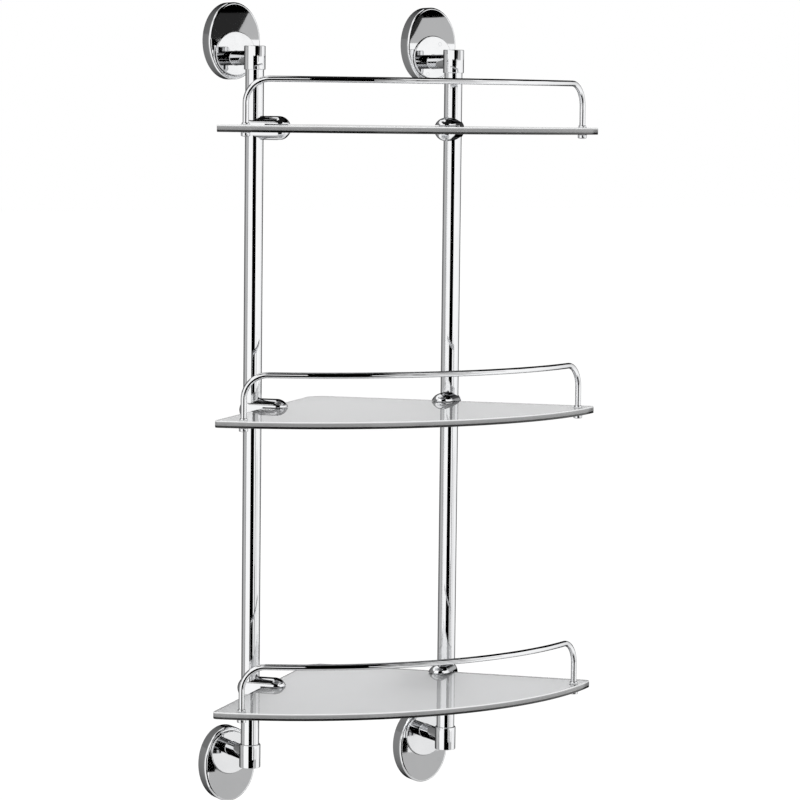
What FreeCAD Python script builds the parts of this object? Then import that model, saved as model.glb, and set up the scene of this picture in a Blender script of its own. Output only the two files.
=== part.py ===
import FreeCAD, Part
import math
import os
import Sketcher

doc = FreeCAD.newDocument("corner_shelf")

# Driving sizes in millimetres
driving = (
    ("shelf_side", 262),         # straight glass edge, from the sharp corner to the tip
    ("shelf_pitch", 244),        # from one shelf to the next
    ("glass_thickness", 6),
    ("front_bow", 68),           # front arc, ahead of the line through the tips
    ("corner_flat", 13.5),       # flat across the back corner
    ("tip_round", 4),
    ("edge_bevel", 0.6),
    ("tube_diameter", 16),
    ("tube_wall", 1),
    ("tube_along", 125),         # corner to tube, along the glass edge
    ("tube_outset", 13.6),       # glass edge to tube axis
    ("running_clearance", 0.05),
    ("thread_clearance", 0.05),
    ("end_gap", 0.3),            # tube end to sleeve cap, screw tips to tube
    ("wall_reach", 53.5),        # tube axis to wall plane
    ("stem_height", 304),        # stem axis above the middle shelf
    ("sleeve_diameter", 18.5),
    ("sleeve_length", 20.5),
    ("sleeve_cap", 3),
    ("sleeve_bevel", 0.5),
    ("stem_diameter", 12.5),
    ("foot_diameter", 38),
    ("foot_offset", 4),          # foot axis beyond the stem axis
    ("foot_proud", 1.2),          # foot ahead of the rosette
    ("foot_round", 0.6),
    ("foot_gap", 0.3),           # foot to rosette opening
    ("rosette_width", 49.5),
    ("rosette_height", 67),
    ("rosette_depth", 15),
    ("rosette_offset", 15),      # oval centre beyond the stem axis
    ("rosette_wall", 1.5),
    ("rosette_round", 2),
    ("crown_radius", 250),       # swell of the rosette's front
    ("plate_thickness", 3),
    ("plate_margin", 0.8),       # wall plate to rosette, all round
    ("spigot_diameter", 12),
    ("spigot_length", 8),
    ("spigot_gap", 0.1),
    ("wall_hole", 5),
    ("wall_hole_spacing", 20),
    ("wall_hole_rise", 32),      # wall holes beyond the stem axis
    ("bracket_grub", 5),
    ("bracket_grub_length", 8),
    ("bracket_grub_key", 2.5),
    ("clip_diameter", 20.6),
    ("clip_back", 11.3),         # tube axis to the back of the clip
    ("clip_reach", 32.8),        # tube axis to the nose
    ("clip_grub", 4),
    ("clip_grub_length", 3),
    ("clip_grub_key", 2),
    ("clamp_at", 23),            # tube axis to the glass clamp screw
    ("pad_thickness", 0.6),
    ("pad_width", 9),
    ("pad_end", 3.4),            # nose to the end of the pad
    ("edge_gap", 0.3),           # glass edge to pad
    ("wire_diameter", 5),
    ("rail_height", 38),         # wire axis above the glass
    ("rail_inset", 7.8),         # front edge to wire axis
    ("rail_bend", 20),
    ("leg_setback", 23.5),       # side edge to leg, along the rail
    ("leg_gap", 0.3),
    ("leg_end", 2.2),            # wire below the lower washer
    ("washer_diameter", 8),
    ("washer_thickness", 0.5),
    ("collar_diameter", 6.6),
    ("collar_height", 1.5),
    ("nut_diameter", 7.6),
    ("nut_height", 3.1),
    ("nut_dome", 0.9),
)

# Values that follow from the driving sizes
following = (
    ("tube_x", "=(sizes.tube_along + sizes.tube_outset) * sqrt(0.5)"),
    ("corner_y", "=(sizes.tube_along - sizes.tube_outset) * sqrt(0.5) - sizes.wall_reach"),
    ("tube_half", "=sizes.stem_height + sizes.sleeve_length / 2 - sizes.sleeve_cap - sizes.end_gap"),
    ("tip_x", "=sizes.shelf_side * sqrt(0.5)"),
    ("arc_radius", "=(tip_x ^ 2 + sizes.front_bow ^ 2) / (2 * sizes.front_bow)"),
    ("arc_y", "=arc_radius - tip_x - sizes.front_bow"),
    ("rail_radius", "=arc_radius - sizes.rail_inset"),
    ("leg_angle", "=asin(tip_x / arc_radius) - sizes.leg_setback / rail_radius * 1 rad"),
    ("bend_angle", "=leg_angle - atan(sizes.rail_bend / rail_radius)"),
    ("leg_x", "=rail_radius * sin(bend_angle) + sizes.rail_bend * cos(bend_angle)"),
    ("leg_y", "=arc_y - rail_radius * cos(bend_angle) + sizes.rail_bend * sin(bend_angle)"),
    ("slot_height", "=sizes.glass_thickness + 2 * sizes.pad_thickness"),
    ("slot_start", "=sizes.tube_outset - sizes.edge_gap - sizes.pad_thickness"),
    ("foot_back", "=sizes.wall_reach - sizes.plate_thickness"),
    ("foot_front", "=sizes.wall_reach - sizes.rosette_depth - sizes.foot_proud"),
    ("crown_drop", "=sizes.crown_radius - sqrt(sizes.crown_radius ^ 2 - sizes.rosette_height ^ 2 / 4)"),
    ("bore", "=sizes.tube_diameter + 2 * sizes.running_clearance"),
)


def fill(sheet, rows):
    for number, (alias, content) in enumerate(rows, start=1):
        sheet.set(f"A{number}", alias)
        sheet.set(f"B{number}", str(content))
        sheet.setAlias(f"B{number}", alias)
    doc.recompute()


sizes = doc.addObject("Spreadsheet::Sheet", "sizes")
fill(sizes, driving)
places = doc.addObject("Spreadsheet::Sheet", "places")
fill(places, following)

levels = (("top", 1), ("middle", 0), ("bottom", -1))
sides = (("left", -1), ("right", 1))
nodes = []


def value(expression):
    result = sizes.evalExpression(expression)
    return float(getattr(result, "Value", result))


def vector(x, y, z=0):
    return FreeCAD.Vector(x, y, z)


def place(item, x, y, z, rotation=FreeCAD.Rotation()):
    item.Placement = FreeCAD.Placement(vector(0, 0), rotation)
    for axis, expression in zip("xyz", (x, y, z)):
        item.setExpression(f"Placement.Base.{axis}", str(expression))


def new_body(label):
    body = doc.addObject("PartDesign::Body", label)
    body.Label = label
    return body


def new_sketch(body, name, role, offset=None):
    sketch = body.newObject("Sketcher::SketchObject", f"{body.Name}_{name}")
    plane = next(item for item in body.Origin.OriginFeatures if item.Role == role)
    sketch.AttachmentSupport = [(plane, "")]
    sketch.MapMode = "FlatFace"
    if offset:
        sketch.setExpression("AttachmentOffset.Base.z", offset)
    return sketch


def bind(sketch, expression, kind, *where):
    index = sketch.addConstraint(Sketcher.Constraint(kind, *where, value(expression)))
    sketch.setExpression(f"Constraints[{index}]", expression)


def tie(sketch, kind, *where):
    sketch.addConstraint(Sketcher.Constraint(kind, *where))


def circle(sketch, diameter, x="0", y="0"):
    centre = vector(value(x), value(y))
    index = sketch.addGeometry(Part.Circle(centre, vector(0, 0, 1), value(diameter) / 2))
    bind(sketch, diameter, "Diameter", index)
    bind(sketch, x, "DistanceX", -1, 1, index, 3)
    bind(sketch, y, "DistanceY", -1, 1, index, 3)


def oval(sketch, width, height, rise):
    centre = vector(0, value(rise))
    top = centre + vector(0, value(height) / 2)
    side = centre + vector(value(width) / 2, 0)
    index = sketch.addGeometry(Part.Ellipse(top, side, centre))
    sketch.exposeInternalGeometry(index)
    tie(sketch, "Vertical", index + 1)
    tie(sketch, "PointOnObject", index, 3, -2)
    bind(sketch, height, "Distance", index + 1)
    bind(sketch, width, "Distance", index + 2)
    bind(sketch, rise, "DistanceY", -1, 1, index, 3)


def polygon(sketch, points):
    corners = [vector(value(x), value(y)) for x, y in points]
    first = sketch.GeometryCount
    count = len(points)
    for number in range(count):
        sketch.addGeometry(Part.LineSegment(corners[number], corners[(number + 1) % count]))
    for number in range(count):
        tie(sketch, "Coincident", first + number, 2, first + (number + 1) % count, 1)
    for number, (x, y) in enumerate(points):
        bind(sketch, x, "DistanceX", -1, 1, first + number, 1)
        bind(sketch, y, "DistanceY", -1, 1, first + number, 1)


def rectangle(sketch, x0, y0, x1, y1):
    polygon(sketch, ((x0, y0), (x1, y0), (x1, y1), (x0, y1)))


def pad(body, sketch, length, symmetric=False):
    feature = body.newObject("PartDesign::Pad", f"{sketch.Name}_pad")
    feature.Profile = sketch
    feature.setExpression("Length", length)
    feature.SideType = "Symmetric" if symmetric else "One side"
    sketch.Visibility = False
    doc.recompute()
    return feature


def pocket(body, sketch, length=None, symmetric=False, backwards=False):
    feature = body.newObject("PartDesign::Pocket", f"{sketch.Name}_pocket")
    feature.Profile = sketch
    if length:
        feature.setExpression("Length", length)
    else:
        feature.Type = "ThroughAll"
    feature.SideType = "Symmetric" if symmetric else "One side"
    feature.Reversed = backwards
    sketch.Visibility = False
    doc.recompute()
    return feature


def turn(body, sketch, kind, axis):
    feature = body.newObject(f"PartDesign::{kind}", f"{sketch.Name}_turn")
    feature.Profile = sketch
    feature.ReferenceAxis = (sketch, [axis])
    feature.Angle = 360
    sketch.Visibility = False
    doc.recompute()
    return feature


def dress(body, base, kind, size, expression, chosen):
    edges = [f"Edge{number}" for number, edge in enumerate(base.Shape.Edges, start=1) if chosen(edge)]
    feature = body.newObject(f"PartDesign::{kind}", f"{base.Name}_{kind}")
    feature.Base = (base, edges)
    feature.setExpression(size, expression)
    doc.recompute()
    return feature


def group(label, items):
    compound = doc.addObject("Part::Compound", label)
    compound.Label = label
    compound.Links = items
    nodes.append(compound)


def cylinder(name, diameter, height):
    item = doc.addObject("Part::Cylinder", name)
    item.setExpression("Radius", f"({diameter}) / 2")
    item.setExpression("Height", height)
    return item


def cut(name, base, tool):
    item = doc.addObject("Part::Cut", name)
    item.Base = base
    item.Tool = tool
    return item


# Headless set screw: tip at its own zero, hex key socket at the far end
def set_screw(name, size):
    stock = cylinder(f"{name}_stock", f"sizes.{size}", f"sizes.{size}_length")
    key = doc.addObject("Part::Prism", f"{name}_key")
    key.Polygon = 6
    key.setExpression("Circumradius", f"sizes.{size}_key / sqrt(3)")
    key.setExpression("Height", f"sizes.{size}_length")
    key.setExpression("Placement.Base.z", f"sizes.{size}_length / 2")
    return cut(name, stock, key)


def ring(name, diameter, height, opening):
    stock = cylinder(f"{name}_stock", diameter, height)
    hole = cylinder(f"{name}_hole", opening, height)
    return cut(name, stock, hole)


def toward(x, y, z):
    return FreeCAD.Rotation(vector(0, 0, 1), vector(x, y, z))


# Round upright tube, open at both ends
def make_tube(side, sign):
    body = new_body(f"tube_{side}")
    outline = new_sketch(body, "section", "XY_Plane")
    circle(outline, "sizes.tube_diameter")
    circle(outline, "sizes.tube_diameter - 2 * sizes.tube_wall")
    pad(body, outline, "2 * places.tube_half", symmetric=True)
    place(body, f"{sign} * places.tube_x", "-sizes.wall_reach", 0)
    nodes.append(body)


# Quarter-round glass shelf with a bowed front and two holes for the rail legs
def make_shelf(level, step):
    body = new_body(f"glass_{level}")
    outline = new_sketch(body, "outline", "XY_Plane")
    flat = value("sizes.corner_flat / 2")
    tip = value("places.tip_x")
    centre = value("places.arc_y")
    spread = math.asin(tip / value("places.arc_radius"))
    round_front = Part.Circle(vector(0, centre), vector(0, 0, 1), value("places.arc_radius"))
    outline.addGeometry(Part.LineSegment(vector(-flat, -flat), vector(flat, -flat)))
    outline.addGeometry(Part.LineSegment(vector(flat, -flat), vector(tip, -tip)))
    outline.addGeometry(Part.ArcOfCircle(round_front, 1.5 * math.pi - spread, 1.5 * math.pi + spread))
    outline.addGeometry(Part.LineSegment(vector(-tip, -tip), vector(-flat, -flat)))
    tie(outline, "Coincident", 0, 2, 1, 1)
    tie(outline, "Coincident", 1, 2, 2, 2)
    tie(outline, "Coincident", 2, 1, 3, 1)
    tie(outline, "Coincident", 3, 2, 0, 1)
    tie(outline, "Symmetric", 0, 1, 0, 2, -2)
    tie(outline, "Symmetric", 1, 2, 3, 1, -2)
    tie(outline, "Perpendicular", 1, 3)
    tie(outline, "PointOnObject", -1, 1, 1)
    bind(outline, "sizes.corner_flat", "DistanceX", 0, 1, 0, 2)
    bind(outline, "sizes.shelf_side", "Distance", -1, 1, 1, 2)
    bind(outline, "places.arc_radius", "Radius", 2)
    sheet_glass = pad(body, outline, "sizes.glass_thickness", symmetric=True)

    def at_tip(edge):
        upright = abs(edge.Vertexes[0].Z - edge.Vertexes[-1].Z) > value("sizes.glass_thickness / 2")
        return upright and abs(abs(edge.CenterOfMass.x) - tip) < flat

    rounded = dress(body, sheet_glass, "Fillet", "Radius", "sizes.tip_round", at_tip)

    def on_rim(edge):
        return abs(abs(edge.CenterOfMass.z) - value("sizes.glass_thickness / 2")) < 1e-6

    dress(body, rounded, "Chamfer", "Size", "sizes.edge_bevel", on_rim)
    holes = new_sketch(body, "leg_holes", "XY_Plane")
    for side, sign in sides:
        circle(holes, "sizes.wire_diameter + 2 * sizes.leg_gap", f"{sign} * places.leg_x", "places.leg_y")
    pocket(body, holes, symmetric=True)
    place(body, 0, "places.corner_y", f"{step} * sizes.shelf_pitch")
    nodes.append(body)


# Bent wire rail: front arc, two quarter bends and two legs that pass through the glass
def make_rail(level, step):
    name = f"rail_{level}"
    height = f"{step} * sizes.shelf_pitch + sizes.glass_thickness / 2 + sizes.rail_height"
    foot = f"{step} * sizes.shelf_pitch - sizes.glass_thickness / 2 - sizes.washer_thickness - sizes.leg_end"
    angle = value("places.bend_angle")
    front = doc.addObject("Part::Torus", f"{name}_front")
    front.setExpression("Radius1", "places.rail_radius")
    front.setExpression("Radius2", "sizes.wire_diameter / 2")
    front.setExpression("Angle3", "2 * places.bend_angle")
    place(front, 0, "places.corner_y + places.arc_y", height, FreeCAD.Rotation(vector(0, 0, 1), 270 - angle))
    pieces = [front]
    for side, sign in sides:
        outward = vector(sign * math.cos(math.radians(angle)), math.sin(math.radians(angle)))
        up = vector(0, 0, 1)
        bend = doc.addObject("Part::Torus", f"{name}_bend_{side}")
        bend.setExpression("Radius1", "sizes.rail_bend")
        bend.setExpression("Radius2", "sizes.wire_diameter / 2")
        bend.Angle3 = 90
        place(
            bend,
            f"{sign} * places.rail_radius * sin(places.bend_angle)",
            "places.corner_y + places.arc_y - places.rail_radius * cos(places.bend_angle)",
            f"{height} - sizes.rail_bend",
            FreeCAD.Rotation(outward, up, outward.cross(up), "XYZ"),
        )
        leg = cylinder(f"{name}_leg_{side}", "sizes.wire_diameter", f"{height} - sizes.rail_bend - ({foot})")
        place(leg, f"{sign} * places.leg_x", "places.corner_y + places.leg_y", foot)
        pieces += [bend, leg]
    rail = doc.addObject("Part::MultiFuse", name)
    rail.Shapes = pieces
    rail.Refine = True
    nodes.append(rail)


# Domed cap nut with a blind hole for the wire end
def make_nut(name):
    body = new_body(name)
    section = new_sketch(body, "section", "XZ_Plane")
    rectangle(section, "0", "-sizes.nut_height", "sizes.nut_diameter / 2", "0")
    stock = turn(body, section, "Revolution", "V_Axis")

    def lower_rim(edge):
        return abs(edge.CenterOfMass.z + value("sizes.nut_height")) < 1e-6

    dress(body, stock, "Fillet", "Radius", "sizes.nut_dome", lower_rim)
    hole = new_sketch(body, "hole", "XY_Plane")
    circle(hole, "sizes.wire_diameter + 2 * sizes.thread_clearance")
    pocket(body, hole, "sizes.leg_end + sizes.thread_clearance")
    return body


# Collars and washers over the glass, washers and cap nuts under it
def make_leg_fittings(level, step):
    middle = f"{step} * sizes.shelf_pitch"
    top = f"{middle} + sizes.glass_thickness / 2"
    under = f"{middle} - sizes.glass_thickness / 2 - sizes.washer_thickness"
    collars = []
    washers = []
    nuts = []
    for side, sign in sides:
        spot = (f"{sign} * places.leg_x", "places.corner_y + places.leg_y")
        opening = "sizes.wire_diameter + 2 * sizes.thread_clearance"
        collar = ring(f"collar_{side}_{level}", "sizes.collar_diameter", "sizes.collar_height", opening)
        place(collar, *spot, f"{top} + sizes.washer_thickness")
        collars.append(collar)
        for name, height in (("upper", top), ("lower", under)):
            washer = ring(
                f"washer_{name}_{side}_{level}",
                "sizes.washer_diameter",
                "sizes.washer_thickness",
                "sizes.wire_diameter + 2 * sizes.leg_gap",
            )
            place(washer, *spot, height)
            washers.append(washer)
        nut = make_nut(f"nut_{side}_{level}")
        place(nut, *spot, under)
        nuts.append(nut)
    group(f"rail_collars_{level}", collars)
    group(f"rail_washers_{level}", washers)
    group(f"rail_nuts_{level}", nuts)


# Cast clip: a round bar with domed ends lying across the tube, split by a slot for the glass
def make_clip(side, sign, level, step):
    body = new_body(f"clip_{side}_{level}")
    outline = new_sketch(body, "outline", "XY_Plane")
    radius = value("sizes.clip_diameter / 2")
    back = radius - value("sizes.clip_back")
    nose = value("sizes.clip_reach") - radius
    back_dome = Part.Circle(vector(back, 0), vector(0, 0, 1), radius)
    nose_dome = Part.Circle(vector(nose, 0), vector(0, 0, 1), radius)
    outline.addGeometry(Part.ArcOfCircle(back_dome, math.pi / 2, math.pi))
    outline.addGeometry(Part.ArcOfCircle(nose_dome, 0, math.pi / 2))
    outline.addGeometry(Part.LineSegment(vector(back, radius), vector(nose, radius)))
    outline.addGeometry(Part.LineSegment(vector(back - radius, 0), vector(nose + radius, 0)))
    tie(outline, "Tangent", 0, 1, 2, 1)
    tie(outline, "Tangent", 1, 2, 2, 2)
    tie(outline, "Horizontal", 2)
    tie(outline, "Coincident", 0, 2, 3, 1)
    tie(outline, "Coincident", 1, 1, 3, 2)
    for index, point in ((0, 3), (1, 3), (3, 1), (3, 2)):
        tie(outline, "PointOnObject", index, point, -1)
    bind(outline, "sizes.clip_diameter / 2", "Radius", 0)
    bind(outline, "sizes.clip_back", "DistanceX", 3, 1, -1, 1)
    bind(outline, "sizes.clip_reach", "DistanceX", -1, 1, 3, 2)
    turn(body, outline, "Revolution", "H_Axis")
    bore = new_sketch(body, "bore", "XY_Plane")
    circle(bore, "places.bore")
    pocket(body, bore, symmetric=True)
    slot = new_sketch(body, "slot", "XZ_Plane")
    rectangle(
        slot,
        "places.slot_start",
        "-places.slot_height / 2",
        "2 * sizes.clip_reach",
        "places.slot_height / 2",
    )
    pocket(body, slot, symmetric=True)
    screw_hole = "sizes.clip_grub + 2 * sizes.thread_clearance"
    tube_screw = new_sketch(body, "tube_screw", "YZ_Plane")
    circle(tube_screw, screw_hole)
    pocket(body, tube_screw)
    glass_screw = new_sketch(body, "glass_screw", "XY_Plane")
    circle(glass_screw, screw_hole, "sizes.clamp_at")
    pocket(body, glass_screw)
    inward = FreeCAD.Rotation(vector(0, 0, 1), -90 - sign * 45)
    place(body, f"{sign} * places.tube_x", "-sizes.wall_reach", f"{step} * sizes.shelf_pitch", inward)
    nodes.append(body)

    liner = new_body(f"clip_pad_{side}_{level}")
    section = new_sketch(liner, "section", "XZ_Plane")
    inner = "places.slot_start + sizes.pad_thickness"
    end = "sizes.clip_reach - sizes.pad_end"
    polygon(
        section,
        (
            ("places.slot_start", "-places.slot_height / 2"),
            (end, "-places.slot_height / 2"),
            (end, "-sizes.glass_thickness / 2"),
            (inner, "-sizes.glass_thickness / 2"),
            (inner, "sizes.glass_thickness / 2"),
            (end, "sizes.glass_thickness / 2"),
            (end, "places.slot_height / 2"),
            ("places.slot_start", "places.slot_height / 2"),
        ),
    )
    pad(liner, section, "sizes.pad_width", symmetric=True)
    place(liner, f"{sign} * places.tube_x", "-sizes.wall_reach", f"{step} * sizes.shelf_pitch", inward)
    nodes.append(liner)


# Two screws in each clip: one against the tube, one against the glass pad
def make_clip_screws(level, step):
    screws = []
    height = f"{step} * sizes.shelf_pitch"
    for side, sign in sides:
        tube_screw = set_screw(f"tube_screw_{side}_{level}", "clip_grub")
        off = "(sizes.tube_diameter / 2 + sizes.end_gap) * sqrt(0.5)"
        place(
            tube_screw,
            f"{sign} * (places.tube_x + {off})",
            f"-sizes.wall_reach + {off}",
            height,
            toward(sign, 1, 0),
        )
        glass_screw = set_screw(f"glass_screw_{side}_{level}", "clip_grub")
        inset = "sizes.clamp_at * sqrt(0.5)"
        place(
            glass_screw,
            f"{sign} * (places.tube_x - {inset})",
            f"-sizes.wall_reach - {inset}",
            f"{height} - places.slot_height / 2",
            toward(0, 0, -1),
        )
        screws += [tube_screw, glass_screw]
    group(f"clip_screws_{level}", screws)


# Bracket casting: flat round foot and a stem running into a capped sleeve for the tube end
def make_arm(label):
    body = new_body(label)
    foot = new_sketch(body, "foot", "XZ_Plane", "-places.foot_back")
    circle(foot, "sizes.foot_diameter", "0", "sizes.foot_offset")
    disc = pad(body, foot, "places.foot_back - places.foot_front")

    def foot_rim(edge):
        return edge.BoundBox.YMax < value("places.foot_back") - 1e-6

    dress(body, disc, "Fillet", "Radius", "sizes.foot_round", foot_rim)
    stem = new_sketch(body, "stem", "XZ_Plane", "-places.foot_back")
    circle(stem, "sizes.stem_diameter")
    pad(body, stem, "places.foot_back")
    sleeve = new_sketch(body, "sleeve", "XY_Plane")
    circle(sleeve, "sizes.sleeve_diameter")
    grip = pad(body, sleeve, "sizes.sleeve_length", symmetric=True)

    def sleeve_rim(edge):
        ends = abs(abs(edge.CenterOfMass.z) - value("sizes.sleeve_length / 2")) < 1e-6
        return ends and edge.BoundBox.YMin < 0

    dress(body, grip, "Chamfer", "Size", "sizes.sleeve_bevel", sleeve_rim)
    bore = new_sketch(body, "bore", "XY_Plane", "sizes.sleeve_length / 2 - sizes.sleeve_cap")
    circle(bore, "places.bore")
    pocket(body, bore)
    socket_end = "-places.foot_back + sizes.spigot_length + sizes.spigot_gap"
    socket = new_sketch(body, "socket", "XZ_Plane", socket_end)
    circle(socket, "sizes.spigot_diameter + 2 * sizes.spigot_gap")
    pocket(body, socket)
    screw_hole = "sizes.bracket_grub + 2 * sizes.thread_clearance"
    clamp = new_sketch(body, "clamp_screw", "XZ_Plane")
    circle(clamp, screw_hole)
    pocket(body, clamp)
    lock = new_sketch(body, "lock_screw", "XY_Plane")
    circle(lock, screw_hole, "0", "places.foot_back - sizes.spigot_length / 2")
    pocket(body, lock)
    return body


# Oval cover cup with a swelling front, open to the wall, that slides over the bracket's foot
def make_rosette(label):
    body = new_body(label)
    outline = new_sketch(body, "outline", "XZ_Plane")
    oval(outline, "sizes.rosette_width", "sizes.rosette_height", "sizes.rosette_offset")
    pad(body, outline, "sizes.rosette_depth")

    crown = new_sketch(body, "crown", "YZ_Plane")
    rise = value("sizes.rosette_offset")
    depth = value("sizes.rosette_depth")
    radius = value("sizes.crown_radius")
    reach = value("sizes.rosette_height")
    ahead = -2 * depth
    swell = Part.Circle(vector(radius - depth, rise), vector(0, 0, 1), radius)
    spread = math.asin(reach / radius)
    rim = radius - depth - radius * math.cos(spread)
    crown.addGeometry(Part.ArcOfCircle(swell, math.pi - spread, math.pi))
    crown.addGeometry(Part.LineSegment(vector(-depth, rise), vector(ahead, rise)))
    crown.addGeometry(Part.LineSegment(vector(ahead, rise), vector(ahead, rise + reach)))
    crown.addGeometry(Part.LineSegment(vector(ahead, rise + reach), vector(rim, rise + reach)))
    axis = crown.addGeometry(Part.LineSegment(vector(ahead, rise), vector(-depth, rise)), True)
    tie(crown, "Coincident", 0, 2, 1, 1)
    tie(crown, "Coincident", 1, 2, 2, 1)
    tie(crown, "Coincident", 2, 2, 3, 1)
    tie(crown, "Coincident", 3, 2, 0, 1)
    tie(crown, "Coincident", 1, 1, axis, 2)
    tie(crown, "Coincident", 1, 2, axis, 1)
    tie(crown, "Horizontal", 1)
    tie(crown, "Vertical", 2)
    tie(crown, "Horizontal", 3)
    tie(crown, "PointOnObject", 0, 3, 1)
    bind(crown, "sizes.rosette_offset", "DistanceY", -1, 1, 1, 1)
    bind(crown, "-sizes.rosette_depth", "DistanceX", -1, 1, 1, 1)
    bind(crown, "-2 * sizes.rosette_depth", "DistanceX", -1, 1, 1, 2)
    bind(crown, "sizes.rosette_height", "DistanceY", 2, 1, 2, 2)
    bind(crown, "sizes.crown_radius", "Radius", 0)
    swollen = turn(body, crown, "Groove", "Axis0")

    def front_rim(edge):
        return edge.BoundBox.YMax < -depth / 2

    dress(body, swollen, "Fillet", "Radius", "sizes.rosette_round", front_rim)
    hollow = new_sketch(body, "hollow", "XZ_Plane")
    oval(
        hollow,
        "sizes.rosette_width - 2 * sizes.rosette_wall",
        "sizes.rosette_height - 2 * sizes.rosette_wall",
        "sizes.rosette_offset",
    )
    pocket(body, hollow, "sizes.rosette_depth - places.crown_drop - sizes.rosette_round", backwards=True)
    opening = new_sketch(body, "opening", "XZ_Plane")
    circle(opening, "sizes.foot_diameter + 2 * sizes.foot_gap", "0", "sizes.foot_offset")
    pocket(body, opening, backwards=True)
    return body


# Oval plate screwed to the wall, with a round spigot that carries the bracket's foot
def make_wall_plate(label):
    body = new_body(label)
    outline = new_sketch(body, "outline", "XZ_Plane")
    inside = "2 * (sizes.rosette_wall + sizes.plate_margin)"
    width = f"sizes.rosette_width - {inside}"
    height = f"sizes.rosette_height - {inside}"
    oval(outline, width, height, "sizes.rosette_offset")
    pad(body, outline, "sizes.plate_thickness")
    spigot = new_sketch(body, "spigot", "XZ_Plane")
    circle(spigot, "sizes.spigot_diameter")
    pad(body, spigot, "sizes.plate_thickness + sizes.spigot_length")
    holes = new_sketch(body, "wall_holes", "XZ_Plane")
    for side, sign in sides:
        circle(holes, "sizes.wall_hole", f"{sign} * sizes.wall_hole_spacing / 2", "sizes.wall_hole_rise")
    pocket(body, holes, backwards=True)
    return body


# One bracket; the lower ones are the upper ones turned half round their stem
def make_bracket(side, sign, level, step):
    ending = f"{level}_{side}"
    rotation = FreeCAD.Rotation(vector(0, 1, 0), 90 - 90 * step)
    across = f"{sign} * places.tube_x"
    height = f"{step} * sizes.stem_height"
    arm = make_arm(f"bracket_arm_{ending}")
    place(arm, across, "-sizes.wall_reach", height, rotation)
    rosette = make_rosette(f"rosette_{ending}")
    place(rosette, across, 0, height, rotation)
    plate = make_wall_plate(f"wall_plate_{ending}")
    place(plate, across, 0, height, rotation)
    nodes.extend((arm, rosette, plate))
    clamp = set_screw(f"clamp_screw_{ending}", "bracket_grub")
    tip = "-sizes.wall_reach + sizes.tube_diameter / 2 + sizes.end_gap"
    place(clamp, across, tip, height, toward(0, 1, 0))
    lock = set_screw(f"lock_screw_{ending}", "bracket_grub")
    drop = f"{height} - {step} * (sizes.spigot_diameter / 2 + sizes.spigot_gap)"
    place(lock, across, "-sizes.plate_thickness - sizes.spigot_length / 2", drop, toward(0, 0, -step))
    group(f"bracket_screws_{ending}", [clamp, lock])


for side, sign in sides:
    make_tube(side, sign)
for level, step in levels:
    make_shelf(level, step)
    make_rail(level, step)
    make_leg_fittings(level, step)
    for side, sign in sides:
        make_clip(side, sign, level, step)
    make_clip_screws(level, step)
for level, step in (("top", 1), ("bottom", -1)):
    for side, sign in sides:
        make_bracket(side, sign, level, step)

doc.recompute()
for item in doc.Objects:
    if "Invalid" in item.State or "Error" in item.State:
        raise RuntimeError(f"{item.Name} did not recompute: {item.State}")
for node in nodes:
    if node.Shape.isNull() or not node.Shape.isValid():
        raise RuntimeError(f"{node.Label} has no valid shape")

os.makedirs("parts", exist_ok=True)
for node in nodes:
    node.Shape.exportStep(f"parts/{node.Label}.step")
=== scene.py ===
import math
import bmesh
import bpy
from mathutils import Matrix, Vector


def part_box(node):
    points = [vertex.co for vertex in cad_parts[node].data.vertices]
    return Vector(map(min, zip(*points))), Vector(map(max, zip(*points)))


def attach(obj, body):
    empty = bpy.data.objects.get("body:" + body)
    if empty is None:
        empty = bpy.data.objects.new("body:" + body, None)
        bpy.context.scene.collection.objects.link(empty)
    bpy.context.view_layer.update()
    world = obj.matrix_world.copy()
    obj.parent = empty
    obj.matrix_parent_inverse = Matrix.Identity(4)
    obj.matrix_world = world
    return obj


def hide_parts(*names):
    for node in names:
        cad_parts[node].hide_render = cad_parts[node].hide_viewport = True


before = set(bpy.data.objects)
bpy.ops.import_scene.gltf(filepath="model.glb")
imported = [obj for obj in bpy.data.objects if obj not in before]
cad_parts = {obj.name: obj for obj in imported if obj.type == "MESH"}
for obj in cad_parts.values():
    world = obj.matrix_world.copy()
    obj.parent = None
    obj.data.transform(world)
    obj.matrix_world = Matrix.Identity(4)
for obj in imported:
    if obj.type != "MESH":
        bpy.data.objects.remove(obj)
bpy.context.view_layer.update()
scene = bpy.context.scene
scene.view_settings.view_transform = "Standard"
mm = 0.001
upward = Vector((0, 0, 1))
diagonal = math.sqrt(0.5)  # x or y share of a direction along a straight side of the shelves


def boxOf(node):
    # middle and half size of a solid's box, in millimetres
    low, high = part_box(node)
    middle = [round((a + b) / 2 / mm, 3) for a, b in zip(low, high)]
    half = [round((b - a) / 2 / mm, 3) for a, b in zip(low, high)]
    return middle, half


sides = {"Left": -1, "Right": 1}
levels = {level: boxOf("glass_" + level.lower())[0][2] for level in ("Top", "Middle", "Bottom")}
tubeMiddle, tubeHalf = boxOf("tube_right")
uprights = {"x": tubeMiddle[0], "y": tubeMiddle[1]}
print("frame loaded:", len(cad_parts), "solids' nodes")


# meshes, all built in millimetres: cleaning distances, the least ring, and the angle of a sharp edge
meshing = {"weld": 2e-4, "sliver": 1e-4, "level": 1e-6, "leastRing": 1e-5, "sharp": 32}


def newShape():
    bm = bmesh.new()
    bm.faces.layers.int.new("flat")  # marks faces that keep a flat shade
    return bm


def ring(bm, points):
    return [bm.verts.new(p) for p in points]


def bridge(bm, first, second, patch=0):
    faces = []
    for i in range(len(first)):
        j = (i + 1) % len(first)
        faces.append(bm.faces.new((first[i], first[j], second[j], second[i])))
        faces[-1].material_index = patch
    return faces


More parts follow.
